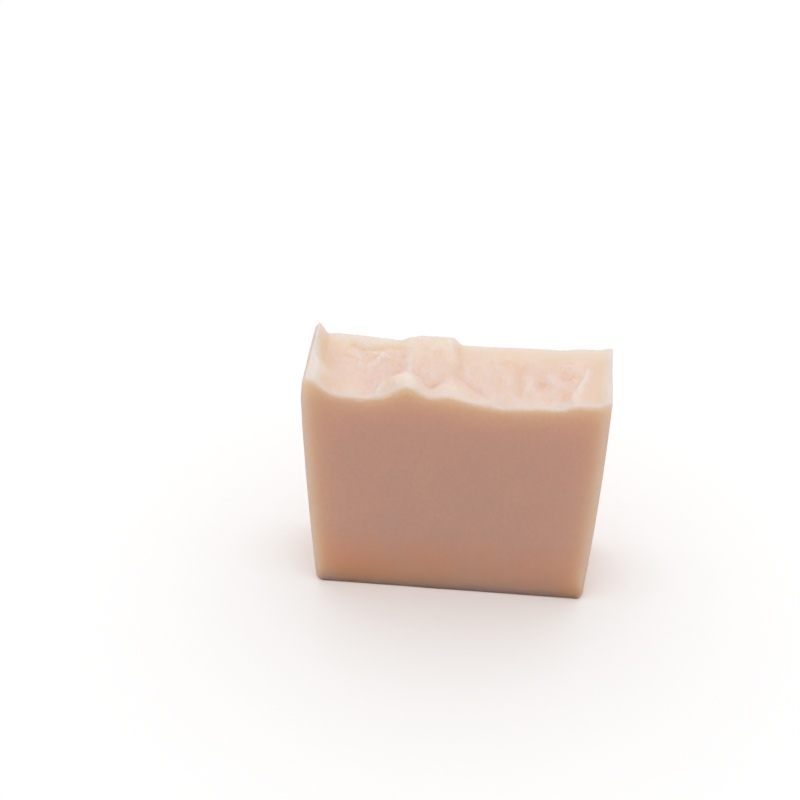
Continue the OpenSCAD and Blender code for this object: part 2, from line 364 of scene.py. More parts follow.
# Folds from the left wall to the right one: places, width, height and kind, all in millimetres.
FOLDS = (
    Fold(
        ((-35.3, 10.5), (-34.9, 6.5), (-34.2, 2.5), (-33.2, -1.5), (-31.9, -4.6), (-32.8, -9.0)),
        0.5, 0.24, FURROW,
    ),
    Fold(
        ((-26.6, 4.0), (-25.4, 5.1), (-24.2, 3.8), (-24.5, 1.8), (-25.4, 0.3), (-26.6, -1.0)),
        0.45, 0.32, CREST,
    ),
    Fold(
        ((-28.2, 8.2), (-27.0, 8.8), (-23.5, 7.0), (-21.5, 7.9), (-18.0, 8.8), (-14.6, 9.6)),
        0.45, 0.5, FURROW,
    ),
    Fold(((-15.0, 10.3), (-18.0, 9.5), (-21.5, 8.7), (-23.5, 7.8), (-26.8, 9.6)), 0.7, 0.3, LAP),
    Fold(((-29.5, 5.4), (-27.6, 4.0), (-25.4, 3.9)), 0.4, 0.26, FURROW),
    Fold(((-22.8, -1.0), (-20.8, 2.4), (-19.2, 4.8), (-18.0, 5.0), (-16.9, 3.8)), 0.45, 0.62, CREST),
    Fold(((-22.0, 3.4), (-20.6, 5.6), (-18.4, 6.4), (-16.2, 5.6)), 0.4, 0.42, FURROW),
    Fold(((-23.4, -3.0), (-22.0, -5.4), (-22.6, -8.6)), 0.5, 0.26, FURROW),
    Fold(((-20.6, -3.6), (-20.0, -6.0), (-21.0, -8.4)), 0.5, 0.22, CREST),
    Fold(((-17.7, -6.2), (-18.5, -8.6), (-19.6, -11.2)), 0.45, 0.46, CREST),
    Fold(((-18.8, -2.0), (-16.6, -2.7), (-14.4, -2.1)), 0.4, 0.26, FURROW),
    Fold(((-14.2, -5.6), (-12.2, -5.0), (-10.4, -5.6)), 1.3, 0.6, FURROW),
    Fold(((-14.3, 7.4), (-14.6, 3.4), (-14.2, 0.0)), 0.45, 0.16, FURROW),
    Fold(((-11.4, 3.6), (-11.2, 1.0), (-11.5, -1.8)), 0.4, 0.22, FURROW),
    Fold(((-9.6, 8.6), (-8.6, 5.6), (-9.2, 2.6)), 0.5, 0.12, FURROW),
    Fold(((-5.8, 6.4), (-4.8, 3.6), (-5.6, 0.8)), 0.5, 0.12, FURROW),
    Fold(((-8.6, -8.0), (-7.2, -7.2), (-6.0, -6.6), (-4.2, -4.6), (-2.8, -1.8)), 0.45, 0.36, FURROW),
    Fold(((-6.9, -9.9), (-6.0, -9.8), (-5.1, -9.9)), 0.55, 0.42, FURROW),
    Fold(((-5.0, -8.4), (-3.0, -7.2), (-0.6, -7.8)), 0.8, 0.16, CREST),
    Fold(((2.1, 2.2), (2.0, 0.2), (2.3, -1.9)), 0.36, 0.26, CREST),
    Fold(((1.0, -2.8), (3.0, -4.5), (5.0, -5.9), (7.4, -7.4)), 0.45, 0.32, FURROW),
    Fold(((7.6, 1.4), (7.8, -1.6), (8.8, -4.6), (11.4, -7.6)), 0.6, 0.16, LAP),
    Fold(((11.0, 0.2), (11.2, -2.0), (11.0, -4.4)), 0.3, 0.2, CREST),
    Fold(((11.9, 0.6), (12.0, -1.6), (11.8, -3.8)), 0.3, 0.18, CREST),
    Fold(((12.8, 0.2), (12.7, -1.6), (13.0, -3.4)), 0.3, 0.16, CREST),
    Fold(((15.0, 3.6), (15.3, -0.5), (15.1, -4.0), (15.5, -8.2)), 0.4, 0.24, FURROW),
    Fold(((16.2, -0.2), (16.8, -2.6), (16.4, -5.6)), 0.35, 0.34, CREST),
    Fold(((17.2, 0.6), (17.7, -1.8), (17.3, -4.4)), 0.32, 0.4, CREST),
    Fold(((18.5, 0.0), (18.3, -3.0), (18.8, -6.6)), 0.35, 0.34, CREST),
    Fold(((17.0, -5.2), (17.8, -6.4), (19.4, -7.6)), 0.4, 0.2, FURROW),
    Fold(((19.5, -3.6), (20.5, -2.1), (21.7, -0.2)), 0.4, 0.2, FURROW),
    Fold(((21.9, 1.8), (22.8, -0.6), (24.2, -2.8)), 0.5, 0.2, CREST),
    Fold(((25.1, 2.0), (25.5, 4.2), (26.9, 5.0), (28.1, 3.7), (27.5, 2.3), (26.3, 1.8)), 0.42, 0.4, CREST),
    Fold(((24.4, 1.6), (26.6, 0.6), (28.9, 1.6)), 0.45, 0.38, FURROW),
    Fold(((27.3, -8.8), (26.8, -6.8), (27.2, -4.6)), 0.4, 0.12, FURROW),
    Fold(((28.2, -9.0), (30.4, -3.2), (31.0, 0.2), (32.2, 4.6)), 0.8, 0.3, CREST),
    Fold(((30.0, 7.8), (24.0, 6.9), (18.0, 7.5), (12.0, 6.5), (6.0, 7.3), (0.8, 6.4)), 0.6, 0.12, LAP),
)

# Streaks of soda ash: along the ridge and its knob, on the low hump, and on the folds at the right, where two
# of them also stand in for small glints as painted highlight.
ASH_STREAKS = (
    AshStroke(
        ((-12.2, 13.0), (-12.0, 8.0), (-12.4, 3.0), (-12.2, -2.0), (-12.0, -6.0), (-12.2, -13.0)),
        1.15, 0.85,
    ),
    AshStroke(((-13.6, -5.6), (-12.0, -5.8), (-10.6, -5.8)), 1.3, 0.6),
    AshStroke(((-6.0, -8.4), (-3.0, -7.0), (0.4, -7.8)), 1.5, 0.6),
    AshStroke(((-29.0, 11.2), (-22.0, 9.8), (-15.0, 11.2)), 1.4, 0.4),
    AshStroke(((-23.8, -3.0), (-20.8, 2.4), (-19.0, 4.9), (-16.2, 3.2)), 0.75, 1.0),
    AshStroke(((-27.0, 4.4), (-25.2, 5.0), (-24.2, 3.4), (-24.7, 1.0), (-26.8, -1.4)), 0.6, 0.7),
    AshStroke(((-17.2, -4.8), (-18.5, -8.6), (-19.8, -12.0)), 0.8, 0.8),
    AshStroke(((2.2, 3.0), (2.0, 0.2), (2.4, -2.6)), 0.5, 0.6),
    # These two streaks also stand in for small glints on the folds: painted highlight.
    AshStroke(((16.9, 0.8), (17.6, -2.2), (17.2, -5.0)), 0.45, 0.9),
    AshStroke(((18.4, -1.6), (18.3, -3.2), (18.7, -5.0)), 0.35, 0.8),
    AshStroke(((21.4, 2.6), (22.8, -1.0), (24.8, -3.6)), 1.1, 0.5),
    AshStroke(((27.6, -10.5), (30.4, -3.2), (31.0, 0.2), (32.6, 6.0)), 1.0, 0.7),
)


@dataclass
class SodaAshAndGlow:
    """The white film that dries on poured soap, thickest where it stood proud or met the air at an edge, with
    painted glow along the front crease.
    """

    seed: int = 17
    # The film on the lip ends in a wavy line. Its reach from the left wall, from the front cut back.
    lip_places: tuple[float, ...] = (-12.0, -8.0, -4.5, -1.5, 2.5, 6.5, 10.0)
    lip_reach: tuple[float, ...] = (4.4, 4.6, 5.1, 3.9, 2.9, 2.3, 1.9)
    lip_softness: float = 0.35
    # The film along the front crease, there painted glow of light through the crease, on the band at the back
    # and on the right rim. It is at its full strength over a share of its reach, and the band's film comes in
    # right of the bar's middle.
    crease_glow_reach: float = 2.6
    crease_glow_strength: float = 0.75
    band_reach: float = 6.5
    band_full: float = 4.5
    band_start: float = 2.0
    band_strength: float = 0.1
    rim_reach: float = 1.2
    rim_strength: float = 0.8
    full_share: float = 0.3
    # How far the films' own edges wander, broadly and by a finer share.
    wander_size: float = 2.4
    wander_fine_size: float = 0.9
    wander_fine: float = 0.5
    lip_wander: float = 0.3
    crease_wander: float = 0.8
    band_wander: float = 0.6
    rim_wander: float = 0.2
    streak_wander: tuple[float, float] = (0.4, 0.3)
    # Thin pale lines over the torn ground. Their meshes are longer than wide right of the middle, they
    # bend, and they come and go in patches. A finer net lies fainter between them.
    line_spacing: float = 2.2
    line_stretch: float = 2.2
    stretch_from: float = -6.0
    stretch_to: float = 4.0
    line_bend: float = 1.1
    line_bend_size: float = 3.1
    line_patch_size: float = 6.0
    line_floor: float = 0.4
    line_span: tuple[float, float] = (0.25, 0.95)
    faint_fineness: float = 2.1
    faint_span: tuple[float, float] = (0.4, 0.95)
    faint_strength: float = 0.4
    line_strength: float = 0.6

    def __post_init__(self) -> None:
        """Draws the random ground that the film's edges follow."""
        self.edges = Ground(self.seed)

    def lines(self, x: np.ndarray, y: np.ndarray) -> np.ndarray:
        """Draws the thin pale lines between creases of the torn ground.

        Args:
            x: X of each place, in millimetres.
            y: Y of each place, in millimetres.

        Returns:
            Weights from 0 to a little over 1.
        """
        waves = self.edges.waves
        bent_x = x + self.line_bend * waves(x, y, self.line_bend_size, (2.0, 0.0))
        bent_y = y + self.line_bend * waves(x, y, self.line_bend_size, (0.0, 6.0))
        stretch = 1.0 + (self.line_stretch - 1.0) * smooth_step(self.stretch_from, self.stretch_to, x)
        spacing = self.line_spacing
        coarse, fine = (
            self.edges.crests(share * bent_x / spacing, share * bent_y / spacing / stretch)
            for share in (1.0, self.faint_fineness)
        )
        patchy = 0.5 + 0.5 * waves(x, y, self.line_patch_size, (4.0, 0.0))
        faint = self.faint_strength * patchy * smooth_step(*self.faint_span, fine)
        clear = self.line_floor + (1.0 - self.line_floor) * patchy
        return smooth_step(*self.line_span, coarse) * clear + faint

    def weights(self, at: Places, rough: np.ndarray) -> np.ndarray:
        """Weighs the film at each place of the poured top.

        Args:
            at: The places.
            rough: How far each place lies in the torn ground.

        Returns:
            Weights from 0 to 1.
        """
        waves = self.edges.waves
        wander = waves(at.x, at.y, self.wander_size)
        wander = wander + self.wander_fine * waves(at.x, at.y, self.wander_fine_size, (5.0, 0.0))
        reach = np.interp(at.y, self.lip_places, self.lip_reach) + self.lip_wander * wander
        on_lip = smooth_step(reach + self.lip_softness, reach - self.lip_softness, at.from_left)
        # Along the front crease the whitening is painted glow of light through the crease.
        from_front = at.from_front + self.crease_wander * wander
        front = smooth_step(self.crease_glow_reach, self.full_share * self.crease_glow_reach, from_front)
        from_back = at.from_back - self.band_wander * wander
        back = smooth_step(self.band_reach, self.band_full, from_back)
        back = back * smooth_step(0.0, self.band_start, at.x)
        from_right = at.from_right + self.rim_wander * wander
        rim = smooth_step(self.rim_reach, self.full_share * self.rim_reach, from_right)
        bare = (1.0 - on_lip) * (1.0 - self.crease_glow_strength * front)
        bare *= (1.0 - self.band_strength * back) * (1.0 - self.rim_strength * rim)
        bare *= 1.0 - self.line_strength * rough * np.clip(self.lines(at.x, at.y), 0.0, 1.0)
        for streak in ASH_STREAKS:
            bare *= 1.0 - streak.weight(
                at.x + self.streak_wander[0] * wander, at.y + self.streak_wander[1] * wander
            )
        return 1.0 - bare


class CutSide(Enum):
    """The two flat cuts of the slice, by the side of the row frame's Y that they face."""

    FRONT = -1
    BACK = 1


@dataclass
class FrameSolid:
    """Reads the frame's own solid: the heights of its top and the line of its walls."""

    name: str = NODE
    # The top is sampled in a grid, then blurred a little to lose its facets, and more to lose its folds.
    sample_step: float = 0.2 * MM
    facet_blur: float = 0.34 * MM
    broad_blur: float = 1.6 * MM
    corner_height: float = 2.2 * MM
    # Levels at which the walls are sampled, in the rounded corner and above it, and places at each level.
    corner_levels: int = 60
    upper_levels: int = 260
    level_places: int = 9
    # A wall never steps inward by more than this from one level to the next.
    wall_break: float = 0.4 * MM
    # Samples of the top within this many steps of a wall may have hit its edge. Others replace them.
    wall_margin: float = 0.7
    # Rays start this far outside the solid, and stay this far inside its ends.
    clear: float = 5.0 * MM
    nudge: float = 0.01 * MM

    def __post_init__(self) -> None:
        """Builds the search tree, then samples the walls and the top."""
        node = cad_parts[self.name]
        points = [v.co.copy() for v in node.data.vertices]
        faces = [tuple(p.vertices) for p in node.data.polygons]
        self.low, self.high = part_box(self.name)
        self.tree = BVHTree.FromPolygons(points, faces)
        corner = np.linspace(0.0, self.corner_height, self.corner_levels)
        upper = np.linspace(self.corner_height, self.high.z, self.upper_levels)
        self.wall_levels = np.concatenate([corner, upper[1:]])
        self.walls = {side: self._sample_wall(side) for side in (-1, 1)}
        self._sample_top()

    def _sample_wall(self, side: int) -> np.ndarray:
        """Finds where a wall stands at each of the wall levels.

        Args:
            side: -1 for the left wall and 1 for the right one.

        Returns:
            X of the wall's outermost place at each level.
        """
        inward = Vector((-side, 0.0, 0.0))
        start_x = side * (self.high.x + self.clear)
        places = []
        for z in self.wall_levels:
            level = max(z, self.nudge)
            hits = []
            for y in np.linspace(self.low.y + self.nudge, self.high.y - self.nudge, self.level_places):
                hit = self.tree.ray_cast(Vector((start_x, y, level)), inward)[0]
                if hit is not None and side * hit.x > 0.0:
                    hits.append(side * hit.x)
            reach = max(hits, default=0.0)
            is_wall = reach > side * (places[-1] if places else 0.0) - self.wall_break
            places.append(side * reach if is_wall else places[-1])
        return np.array(places)

    def wall(self, height: np.ndarray, side: int) -> np.ndarray:
        """Returns a wall's X at each height."""
        return np.interp(height, self.wall_levels, self.walls[side])

    def _sample_top(self) -> None:
        """Casts a grid of rays down on the top and takes the facets' edges off the heights."""
        across = self.high.x - self.low.x
        along = self.high.y - self.low.y
        self.count_x = int(round(across / self.sample_step)) + 1
        self.count_y = int(round(along / self.sample_step)) + 1
        xs = np.linspace(self.low.x, self.high.x, self.count_x)
        ys = np.linspace(self.low.y + self.nudge, self.high.y - self.nudge, self.count_y)
        down = Vector((0.0, 0.0, -1.0))
        top = self.high.z + self.clear
        raw = np.full((self.count_x, self.count_y), np.nan)
        for i, x in enumerate(xs):
            for j, y in enumerate(ys):
                hit = self.tree.ray_cast(Vector((x, y, top)), down)[0]
                if hit is not None:
                    raw[i, j] = hit.z
        place = np.broadcast_to(xs[:, None], raw.shape)
        for side in (-1, 1):
            gap = side * (self.wall(np.nan_to_num(raw), side) - place)
            raw[gap < self.wall_margin * self.sample_step] = np.nan
        for j in range(self.count_y):
            known = np.isfinite(raw[:, j])
            raw[:, j] = np.interp(xs, xs[known], raw[known, j])
        self.top = blurred_both(raw, self.facet_blur / self.sample_step)
        self.top_broad = blurred_both(self.top, self.broad_blur / self.sample_step)

    def _read(self, grid: np.ndarray, x: np.ndarray, y: np.ndarray) -> np.ndarray:
        """Reads a sampled grid between its points.

        Args:
            grid: Values at the sample points.
            x: X of each place.
            y: Y of each place.

        Returns:
            One value for each place.
        """
        u = (x - self.low.x) / (self.high.x - self.low.x) * (self.count_x - 1)
        v = (y - self.low.y) / (self.high.y - self.low.y) * (self.count_y - 1)
        i = np.clip(np.floor(u).astype(int), 0, self.count_x - 2)
        j = np.clip(np.floor(v).astype(int), 0, self.count_y - 2)
        fu = np.clip(u - i, 0.0, 1.0)
        fv = np.clip(v - j, 0.0, 1.0)
        front = grid[i, j] * (1.0 - fu) + grid[i + 1, j] * fu
        back = grid[i, j + 1] * (1.0 - fu) + grid[i + 1, j + 1] * fu
        return front * (1.0 - fv) + back * fv

    def height(self, x: np.ndarray, y: np.ndarray) -> np.ndarray:
        """Returns the top's height at each place."""
        return self._read(self.top, x, y)

    def broad_height(self, x: np.ndarray, y: np.ndarray) -> np.ndarray:
        """Returns the top's height at each place with its folds smoothed away."""
        return self._read(self.top_broad, x, y)


@dataclass
class PouredGround:
    """The finer ground of the poured top: torn bowls, fibres and grain, and what stays smooth."""

    seed: int = 5
    # The lip, the shoulder and the band stay smooth. These are their widths, from the walls and the back
    # cut, how softly each ends, and where in X the band starts.
    lip_width: float = 4.5
    lip_softness: float = 1.5
    shoulder_width: float = 6.5
    band_width: float = 5.0
    soft_within: float = 0.7
    soft_beyond: float = 1.2
    band_start: float = 0.0
    band_softness: float = 1.0
    edge_wander: float = 0.8
    edge_wander_size: float = 5.0
    # Sizes and heights in millimetres, a fibre's length in widths, and how far the bowls' and the chips'
    # floors differ.
    bowl_size: float = 3.1
    bowl_height: float = 0.2
    bowl_unevenness: float = 0.5
    chip_size: float = 1.35
    chip_height: float = 0.1
    chip_unevenness: float = 0.6
    # The height at which bowls and chips neither raise the ground nor lower it.
    bowl_level: float = 0.55
    fibre_width: float = 0.75
    fibre_length: float = 3.2
    fibre_height: float = 0.05
    grain_size: float = 0.42
    grain_height: float = 0.02
    grain_on_smooth: float = 0.2
    swell_size: float = 5.0
    swell_height: float = 0.06
    # How far the ground's pattern is bent, and how much longer than wide it grows right of the middle.
    curl: float = 1.3
    curl_size: float = 4.6
    stretch: float = 0.9
    stretch_from: float = -3.0
    stretch_to: float = 5.0
    # How far the folds' lines waver, broadly and by a finer share, and how far their heights vary.
    waver: float = 0.35
    waver_size: float = 2.2
    waver_fine: float = 0.5
    fold_change: float = 0.4
    fold_change_size: float = 1.7
    # The knife drew the relief flatter near the cuts: its share there, and how far that reaches.
    share_at_cut: float = 0.35
    cut_reach: float = 2.5
    # Patches where the ground stayed smooth: place in X, place in Y, half width, half length.
    calm_patches: tuple[tuple[float, float, float, float], ...] = (
        (-28.3, -4.0, 3.2, 4.5),
        (-16.0, -5.5, 2.2, 2.8),
        (9.8, -3.5, 2.0, 3.8),
    )
    calm: float = 0.75

    def __post_init__(self) -> None:
        """Draws the random grounds that the features come from."""
        self.bends = Ground(self.seed)
        self.bowls = Ground(self.seed + 1)
        self.chips = Ground(self.seed + 2)
        self.fibres = Ground(self.seed + 3)
        self.grain = Ground(self.seed + 4)

    def roughness(self, at: Places) -> np.ndarray:
        """Weighs how far each place lies in the torn ground.

        Args:
            at: The places.

        Returns:
            1 in the torn ground, 0 on the lip, the shoulder and the band.
        """
        within, beyond = self.soft_within, self.soft_beyond
        wander = self.edge_wander * self.bends.waves(at.x, at.y, self.edge_wander_size, (3.0, 0.0))
        lip_ends = (self.lip_width - self.lip_softness, self.lip_width + self.lip_softness)
        left = smooth_step(*lip_ends, at.from_left + wander)
        shoulder_ends = (self.shoulder_width - within, self.shoulder_width + beyond)
        right = smooth_step(*shoulder_ends, at.from_right + wander)
        band_ends = (self.band_start - self.band_softness, self.band_start + self.band_softness)
        on_band = smooth_step(*band_ends, at.x)
        near_back = smooth_step(self.band_width + beyond, self.band_width - within, at.from_back + wander)
        return left * right * (1.0 - on_band * near_back)

    def _torn(self, at: Places) -> np.ndarray:
        """Works out the torn ground's own height.

        Args:
            at: The places.

        Returns:
            Heights of its bowls, chips and fibres, in millimetres.
        """
        bent_x = at.x + self.curl * self.bends.waves(at.x, at.y, self.curl_size)
        bent_y = at.y + self.curl * self.bends.waves(at.x, at.y, self.curl_size, (7.0, 2.0))
        stretch = 1.0 + self.stretch * smooth_step(self.stretch_from, self.stretch_to, at.x)
        bowl = self.bowls.scoops(
            bent_x / self.bowl_size, bent_y / self.bowl_size / stretch, self.bowl_unevenness
        )
        chip = self.chips.scoops(
            bent_x / self.chip_size, bent_y / self.chip_size / stretch, self.chip_unevenness
        )
        fibre = self.fibres.crests(bent_x / self.fibre_width, bent_y / (self.fibre_length * self.fibre_width))
        pits = self.bowl_height * (bowl - self.bowl_level) + self.chip_height * (chip - self.bowl_level)
        return pits + self.fibre_height * fibre

    def _folded(self, at: Places) -> np.ndarray:
        """Adds up the folds, whose lines waver and whose heights vary.

        Args:
            at: The places.

        Returns:
            Heights in millimetres.
        """
        x, y = at.x, at.y
        waver_x = self.bends.waves(x, y, self.waver_size) + self.waver_fine * self.chips.waves(x, y)
        waver_y = self.bends.waves(x, y, self.waver_size, (4.0, 8.0))
        waver_y = waver_y + self.waver_fine * self.chips.waves(x, y, 1.0, (0.0, 9.0))
        strength = 1.0 + self.fold_change * self.fibres.waves(x, y, self.fold_change_size)
        return strength * sum(fold.rise(x + self.waver * waver_x, y + self.waver * waver_y) for fold in FOLDS)

    def relief(self, at: Places) -> np.ndarray:
        """Works out the fine ground's height.

        Args:
            at: The places.

        Returns:
            Heights to add to the frame's relief, in millimetres.
        """
        rough = self.roughness(at)
        for place_x, place_y, reach_x, reach_y in self.calm_patches:
            off = ((at.x - place_x) / reach_x) ** 2 + ((at.y - place_y) / reach_y) ** 2
            rough = rough * (1.0 - self.calm * np.exp(-off))
        grain = self.grain.waves(at.x, at.y, self.grain_size)
        swell = self.bends.waves(at.x, at.y, self.swell_size, (9.0, 4.0))
        from_cut = smooth_step(0.0, self.cut_reach, at.half_slice - np.abs(at.y))
        at_cut = self.share_at_cut + (1.0 - self.share_at_cut) * from_cut
        spread = self.grain_on_smooth + (1.0 - self.grain_on_smooth) * rough
        even = self.grain_height * grain * spread + self.swell_height * swell
        return at_cut * (rough * self._torn(at) + self._folded(at)) + even


@dataclass
class SoapBar:
    """The bar's one mesh: rings round the section from the front cut to the back cut, and two cut faces."""

    solid: FrameSolid
    ground: PouredGround = field(default_factory=PouredGround)
    ash: SodaAshAndGlow = field(default_factory=SodaAshAndGlow)
    seed: int = 31
    # The top's columns lie this many millimetres from each wall, then evenly, a column step apart.
    wall_columns: tuple[float, ...] = (0.0, 0.03, 0.07, 0.12, 0.18, 0.26, 0.36, 0.48)
    column_step: float = 0.19 * MM
    row_step: float = 0.19 * MM
    # Rows up a wall crowd towards the top by this power.
    wall_rows: int = 36
    wall_crowding: float = 0.6
    corner_rows: int = 10
    base_columns: int = 30
    # The cut edges' rounding, its rings, and the share of it that is left, which varies along the edge.
    edge_radius: float = 0.75 * MM
    edge_rings: int = 7
    edge_share: float = 0.75
    edge_wear: float = 0.3
    edge_least: float = 0.4
    wear_spots: float = 20.0
    # The outline's way outward is worked out at even steps and blurred.
    outline_step: float = 0.1 * MM
    outline_blur: float = 0.9 * MM
    # The rounding where a wall meets the poured top, and the rounds in which their meeting line is found.
    wall_edge: float = 0.45 * MM
    junction_rounds: int = 6
    # The cut faces' net of even triangles: its step, and in steps how far apart its rows lie and how near
    # the outline it may come.
    face_step: float = 1.1 * MM
    face_row: float = 0.866
    face_gap: float = 0.35
    # The knife's drag: its depth, and in millimetres the length and height of its streaks and the size of
    # its broad hollows. The streaks slope a little, and each cut face reads its own part of the ground.
    drag_depth: float = 0.035 * MM
    drag_length: float = 30.0
    drag_height: float = 3.5
    drag_slope: float = 0.04
    drag_broad: float = 18.0
    drag_part: float = 50.0
    drag_margin: float = 3.0 * MM
    # How far a cut edge's whitening, a painted highlight, reaches over the walls, and a wall's over the cut
    # faces.
    edge_reach: float = 1.35 * MM
    side_reach: float = 2.6 * MM
    # How far the film's whitening reaches down the walls from the top: painted light on the upper walls,
    # which lie in shade.
    painted_light_drop: float = 4.0 * MM
    # The painted highlight gives way to the shade at the base: none of it up to the first height, and all of
    # it from the second.
    whitening_start: float = 0.5 * MM
    whitening_full: float = 6.0 * MM
    # How far the fine folds lean sideways, as a share of their height, which way in degrees, how widely
    # that way swings, and over how many millimetres. They stand straight near the cuts.
    lean: float = 0.55
    lean_way: float = 140.0
    lean_swing: float = 60.0
    lean_size: float = 7.0
    lean_margin: float = 2.0 * MM

    def __post_init__(self) -> None:
        """Takes the slice's own sizes from the frame."""
        self.half_width = (self.solid.high.x - self.solid.low.x) / 2.0
        self.half_slice = self.solid.high.y
        self.seeds = Ground(self.seed)

    def _column_shares(self) -> np.ndarray:
        """Places the top's columns: even over the top, closer together at both walls.

        Returns:
            Shares from 0 at the left wall to 1 at the right wall.
        """
        width = 2.0 * self.half_width
        near_wall = np.array(self.wall_columns) * MM
        inner = width - 2.0 * near_wall[-1]
        count = int(round(inner / self.column_step))
        middle = near_wall[-1] + inner * np.arange(1, count) / count
        places = np.concatenate([near_wall, middle, width - near_wall[::-1]])
        return places / width

    def _rows(self) -> np.ndarray:
        """Places the rings between the two rounded cut edges.

        Returns:
            Y of each ring.
        """
        reach = self.half_slice - self.edge_radius
        count = int(round(2.0 * reach / self.row_step))
        return np.linspace(-reach, reach, count + 1)

    def _top(self, rows: np.ndarray) -> tuple[np.ndarray, np.ndarray, np.ndarray, np.ndarray]:
        """Builds the poured top as a grid of points.

        Args:
            rows: Y of each row.

        Returns:
            The points, with their crest, rough and ash weights, by row and column.
        """
        shares = self._column_shares()
        left, right = (self._junction(rows, side) for side in (-1, 1))
        x = left[:, None] + shares * (right - left)[:, None]
        y = np.broadcast_to(rows[:, None], x.shape).copy()
        ground = self.ground
        at = Places(x / MM, y / MM, self.half_width / MM, self.half_slice / MM)
        fine = ground.relief(at) * MM
        height = self.solid.height(x, y) + fine
        from_wall = np.minimum(x - left[:, None], right[:, None] - x)
        short = np.clip(self.wall_edge - from_wall, 0.0, self.wall_edge)
        height -= self.wall_edge - np.sqrt(self.wall_edge**2 - short**2)
        height = np.minimum(height, self.solid.high.z - self.solid.nudge)
        crest = (height - self.solid.broad_height(x, y)) / MM
        rough = ground.roughness(at)
        ash = self.ash.weights(at, rough)
        inside = smooth_step(0.0, self.lean_margin, self.half_slice - np.abs(y)) * rough
        swing = ground.bends.waves(at.x, at.y, self.lean_size)
        turn = np.radians(self.lean_way + self.lean_swing * swing)
        x += self.lean * fine * np.cos(turn) * inside
        y += self.lean * fine * np.sin(turn) * inside
        return np.stack([x, y, height], axis=-1), crest, rough, ash

    def _junction(self, rows: np.ndarray, side: int) -> np.ndarray:
        """Finds where the poured top meets a wall, closer with each round.

        Args:
            rows: Y of each row.
            side: -1 for the left wall and 1 for the right one.

        Returns:
            X of the meeting place in each row.
        """
        x = np.full_like(rows, side * self.half_width)
        for _ in range(self.junction_rounds):
            x = self.solid.wall(self.solid.height(x, rows), side)
        return x

    def _walls(self, top: np.ndarray) -> np.ndarray:
        """Builds the rest of each ring: down the left wall, along the base and up the right wall.

        Args:
            top: The poured top's points, by row and column.

        Returns:
            Points by row, in the order in which a ring meets them after the top's left end.
        """
        solid = self.solid
        corner = 1.0 - np.cos(np.linspace(0.0, math.pi / 2.0, self.corner_rows + 1))
        levels = corner * solid.corner_height
        shares = np.linspace(0.0, 1.0, self.wall_rows + 1)[1:-1] ** self.wall_crowding
        sides = {}
        for side, end in ((-1, top[:, :1]), (1, top[:, -1:])):
            upper = levels[-1] + (end[..., 2] - levels[-1]) * shares
            heights = np.concatenate([np.broadcast_to(levels, (len(top), len(levels))), upper], axis=1)
            depth = np.broadcast_to(end[..., 1], heights.shape)
            sides[side] = np.stack([solid.wall(heights, side), depth, heights], axis=-1)
        across = np.linspace(solid.walls[-1][0], solid.walls[1][0], self.base_columns + 1)[1:-1]
        x = np.broadcast_to(across, (len(top), len(across)))
        depth = np.broadcast_to(top[:, :1, 1], x.shape)
        base = np.stack([x, depth, np.zeros_like(x)], axis=-1)
        return np.concatenate([sides[-1][:, ::-1], base, sides[1]], axis=1)

    def _outward(self, ring: np.ndarray) -> np.ndarray:
        """Gives each point of a ring its way outward, which turns slowly even where the outline has a corner.

        Args:
            ring: Points round the section.

        Returns:
            Unit vectors in X and Z.
        """
        run = (np.roll(ring, -1, axis=0) - ring)[:, (0, 2)]
        length = np.maximum(np.hypot(run[:, 0], run[:, 1]), TINY)
        reached = np.concatenate([[0.0], np.cumsum(length)])
        count = int(round(reached[-1] / self.outline_step))
        places = reached[-1] * np.arange(count + 1) / count
        piece = np.clip(np.searchsorted(reached, places, side="right") - 1, 0, len(run) - 1)
        ways = (np.stack([run[:, 1], -run[:, 0]], axis=-1) / length[:, None])[piece]
        reach = self.outline_blur / self.outline_step
        # The ring is closed, so each end is drawn on with the other before the blur, which needs 3 reaches.
        pad = int(4.0 * reach)
        wrapped = np.concatenate([ways[-pad - 1 : -1], ways, ways[1 : pad + 1]])
        ways = blurred(wrapped, reach, 0)[pad:-pad]
        way = np.stack([np.interp(reached[:-1], places, ways[:, n]) for n in (0, 1)], axis=-1)
        return way / np.hypot(way[:, 0], way[:, 1])[:, None]

    def _edge_rings(self, ring: np.ndarray, side: CutSide) -> np.ndarray:
        """Rounds one cut edge with a few rings that draw in towards the cut face.

        Args:
            ring: The last full ring before the edge.
            side: Which cut the edge belongs to.

        Returns:
            Points by ring, from the full ring to the cut face.
        """
        outward = self._outward(ring)
        turn = np.linspace(0.0, 1.0, len(ring), endpoint=False) * math.tau
        spots = self.wear_spots
        wear = self.seeds.waves(spots * np.cos(turn) + 2.0 * spots * side.value, spots * np.sin(turn))
        share = np.clip(self.edge_share + self.edge_wear * wear, self.edge_least, 1.0)
        radius = self.edge_radius * share
        face = side.value * self.half_slice
        rings = []
        for angle in np.linspace(0.0, math.pi / 2.0, self.edge_rings):
            inset = radius * (1.0 - math.cos(angle))
            points = ring.copy()
            points[:, 0] -= inset * outward[:, 0]
            points[:, 2] -= inset * outward[:, 1]
            points[:, 1] = face - side.value * radius * (1.0 - math.sin(angle))
            points[:, 2] = np.maximum(points[:, 2], 0.0)
            rings.append(points)
        return np.array(rings)

